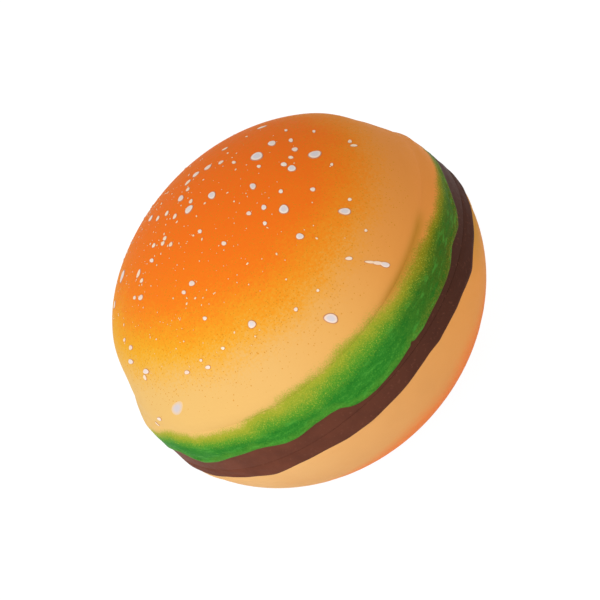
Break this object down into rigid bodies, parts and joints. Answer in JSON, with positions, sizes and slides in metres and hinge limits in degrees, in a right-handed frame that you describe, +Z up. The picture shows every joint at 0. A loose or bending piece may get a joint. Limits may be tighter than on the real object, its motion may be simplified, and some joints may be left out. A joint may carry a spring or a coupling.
{
  "type": "novelty flip telephone",
  "caption": "Novelty telephone shaped as a burger: the upper bun and lettuce hinge up as a lid with the earpiece, and the patty and lower bun hold the keypad and microphone.",
  "frame": {"origin": "on the table, at the centre of the burger's round outline", "axes": "+Z up, +Y towards the hinge and the line socket, +X to the right of a user who faces the keypad"},
  "size_m": [0.14, 0.1415, 0.109],
  "materials": {
    "bun_crust": "sprayed soft-touch crust, orange over tan",
    "leaf_green": "sprayed green over tan",
    "patty_brown": "sprayed brown",
    "bun_heel": "soft-touch tan with an orange rim",
    "deck_brown": "fine moulded texture",
    "cream_plastic": "moulded, satin",
    "key_plastic": "moulded, satin",
    "steel": "zinc plated",
    "pressed_steel": "pressed sheet",
    "magnet_steel": "plated",
    "ballast_steel": "mill finish",
    "paper_cone": "pressed paper",
    "grey_cable": "insulation",
    "red_cable": "insulation",
    "silicone": "translucent grey silicone",
    "board_laminate": "paper laminate",
    "black_plastic": "moulded",
    "winding_tape": "taped winding",
    "capacitor_sleeve": "shrunk sleeve",
    "black_rubber": "moulded",
    "brass": "turned or rolled",
    "socket_plastic": "moulded"
  },
  "bodies": {
    "base": {"patty_ring": "patty_brown", "bottom_bun": "bun_heel", "keypad_deck": "deck_brown", "key_mat": "silicone", "circuit_board": "board_laminate", "board_screws": "steel", "dialler_chip": "black_plastic", "speech_chip": "black_plastic", "line_transformer": "winding_tape", "capacitors": "capacitor_sleeve", "diodes": "black_plastic", "crystal": "pressed_steel", "hook_spring": "steel", "hook_switch": "black_plastic", "microphone": "magnet_steel", "microphone_boot": "black_rubber", "ringer_housing": "black_plastic", "ringer_disc": "brass", "ballast_plate": "ballast_steel", "line_socket": "socket_plastic", "socket_contacts": "brass", "ringer_switch": "black_plastic", "tone_switch": "black_plastic", "hinge_pin": "steel", "hinge_bush": "brass", "base_lead": "grey_cable", "line_wires": "red_cable", "ringer_wires": "red_cable", "microphone_wires": "red_cable", "lid_bumpers": "black_rubber", "rubber_feet": "black_rubber", "base_screws": "steel"},
    "lid": {"top_bun": "bun_crust", "lettuce_ring": "leaf_green", "earpiece_plate": "cream_plastic", "lid_screws": "steel", "receiver_basket": "pressed_steel", "receiver_cone": "paper_cone", "receiver_magnet": "magnet_steel", "receiver_clips": "pressed_steel", "receiver_screws": "steel", "lid_lead": "grey_cable"},
    "hook_button": {"hook_plunger": "cream_plastic"},
    "ringer_knob": {"ringer_slider": "cream_plastic"},
    "tone_knob": {"tone_slider": "cream_plastic"},
    "key_1": {"key_1": "key_plastic"},
    "key_2": {"key_2": "key_plastic"},
    "key_3": {"key_3": "key_plastic"},
    "key_4": {"key_4": "key_plastic"},
    "key_5": {"key_5": "key_plastic"},
    "key_6": {"key_6": "key_plastic"},
    "key_7": {"key_7": "key_plastic"},
    "key_8": {"key_8": "key_plastic"},
    "key_9": {"key_9": "key_plastic"},
    "key_star": {"key_star": "key_plastic"},
    "key_0": {"key_0": "key_plastic"},
    "key_hash": {"key_hash": "key_plastic"},
    "key_redial": {"key_redial": "key_plastic"},
    "key_flash": {"key_flash": "key_plastic"},
    "key_mute": {"key_mute": "key_plastic"}
  },
  "joints": [
    {"name": "lid_hinge", "type": "hinge", "parent": "base", "child": "lid", "pos_m": [0, 0.0675, 0.046], "axis": [-1, 0, 0], "range_deg": [0, 135]},
    {"name": "hook_button_slide", "type": "slide", "parent": "base", "child": "hook_button", "axis": [0, 0, 1], "range_m": [0, 0.0031], "deforming": ["hook_spring"]},
    {"name": "ringer_knob_slide", "type": "slide", "parent": "base", "child": "ringer_knob", "axis": [1, 0, 0], "range_m": [-0.0024, 0.0024]},
    {"name": "tone_knob_slide", "type": "slide", "parent": "base", "child": "tone_knob", "axis": [1, 0, 0], "range_m": [0, 0.0048]},
    {"name": "key_1_press", "type": "slide", "parent": "base", "child": "key_1", "axis": [0, 0, -1], "range_m": [0, 0.0012], "stiffness_N_per_m": 250, "springref_m": -0.001, "deforming": ["key_mat"]},
    {"name": "key_2_press", "type": "slide", "parent": "base", "child": "key_2", "axis": [0, 0, -1], "range_m": [0, 0.0012], "stiffness_N_per_m": 250, "springref_m": -0.001, "deforming": ["key_mat"]},
    {"name": "key_3_press", "type": "slide", "parent": "base", "child": "key_3", "axis": [0, 0, -1], "range_m": [0, 0.0012], "stiffness_N_per_m": 250, "springref_m": -0.001, "deforming": ["key_mat"]},
    {"name": "key_4_press", "type": "slide", "parent": "base", "child": "key_4", "axis": [0, 0, -1], "range_m": [0, 0.0012], "stiffness_N_per_m": 250, "springref_m": -0.001, "deforming": ["key_mat"]},
    {"name": "key_5_press", "type": "slide", "parent": "base", "child": "key_5", "axis": [0, 0, -1], "range_m": [0, 0.0012], "stiffness_N_per_m": 250, "springref_m": -0.001, "deforming": ["key_mat"]},
    {"name": "key_6_press", "type": "slide", "parent": "base", "child": "key_6", "axis": [0, 0, -1], "range_m": [0, 0.0012], "stiffness_N_per_m": 250, "springref_m": -0.001, "deforming": ["key_mat"]},
    {"name": "key_7_press", "type": "slide", "parent": "base", "child": "key_7", "axis": [0, 0, -1], "range_m": [0, 0.0012], "stiffness_N_per_m": 250, "springref_m": -0.001, "deforming": ["key_mat"]},
    {"name": "key_8_press", "type": "slide", "parent": "base", "child": "key_8", "axis": [0, 0, -1], "range_m": [0, 0.0012], "stiffness_N_per_m": 250, "springref_m": -0.001, "deforming": ["key_mat"]},
    {"name": "key_9_press", "type": "slide", "parent": "base", "child": "key_9", "axis": [0, 0, -1], "range_m": [0, 0.0012], "stiffness_N_per_m": 250, "springref_m": -0.001, "deforming": ["key_mat"]},
    {"name": "key_star_press", "type": "slide", "parent": "base", "child": "key_star", "axis": [0, 0, -1], "range_m": [0, 0.0012], "stiffness_N_per_m": 250, "springref_m": -0.001, "deforming": ["key_mat"]},
    {"name": "key_0_press", "type": "slide", "parent": "base", "child": "key_0", "axis": [0, 0, -1], "range_m": [0, 0.0012], "stiffness_N_per_m": 250, "springref_m": -0.001, "deforming": ["key_mat"]},
    {"name": "key_hash_press", "type": "slide", "parent": "base", "child": "key_hash", "axis": [0, 0, -1], "range_m": [0, 0.0012], "stiffness_N_per_m": 250, "springref_m": -0.001, "deforming": ["key_mat"]},
    {"name": "key_redial_press", "type": "slide", "parent": "base", "child": "key_redial", "axis": [0, 0, -1], "range_m": [0, 0.0012], "stiffness_N_per_m": 250, "springref_m": -0.001, "deforming": ["key_mat"]},
    {"name": "key_flash_press", "type": "slide", "parent": "base", "child": "key_flash", "axis": [0, 0, -1], "range_m": [0, 0.0012], "stiffness_N_per_m": 250, "springref_m": -0.001, "deforming": ["key_mat"]},
    {"name": "key_mute_press", "type": "slide", "parent": "base", "child": "key_mute", "axis": [0, 0, -1], "range_m": [0, 0.0012], "stiffness_N_per_m": 250, "springref_m": -0.001, "deforming": ["key_mat"]}
  ],
  "couplings": [
    {"joint": "hook_button_slide", "follows": "lid_hinge", "m_per_rad": 0.0012732}
  ]
}
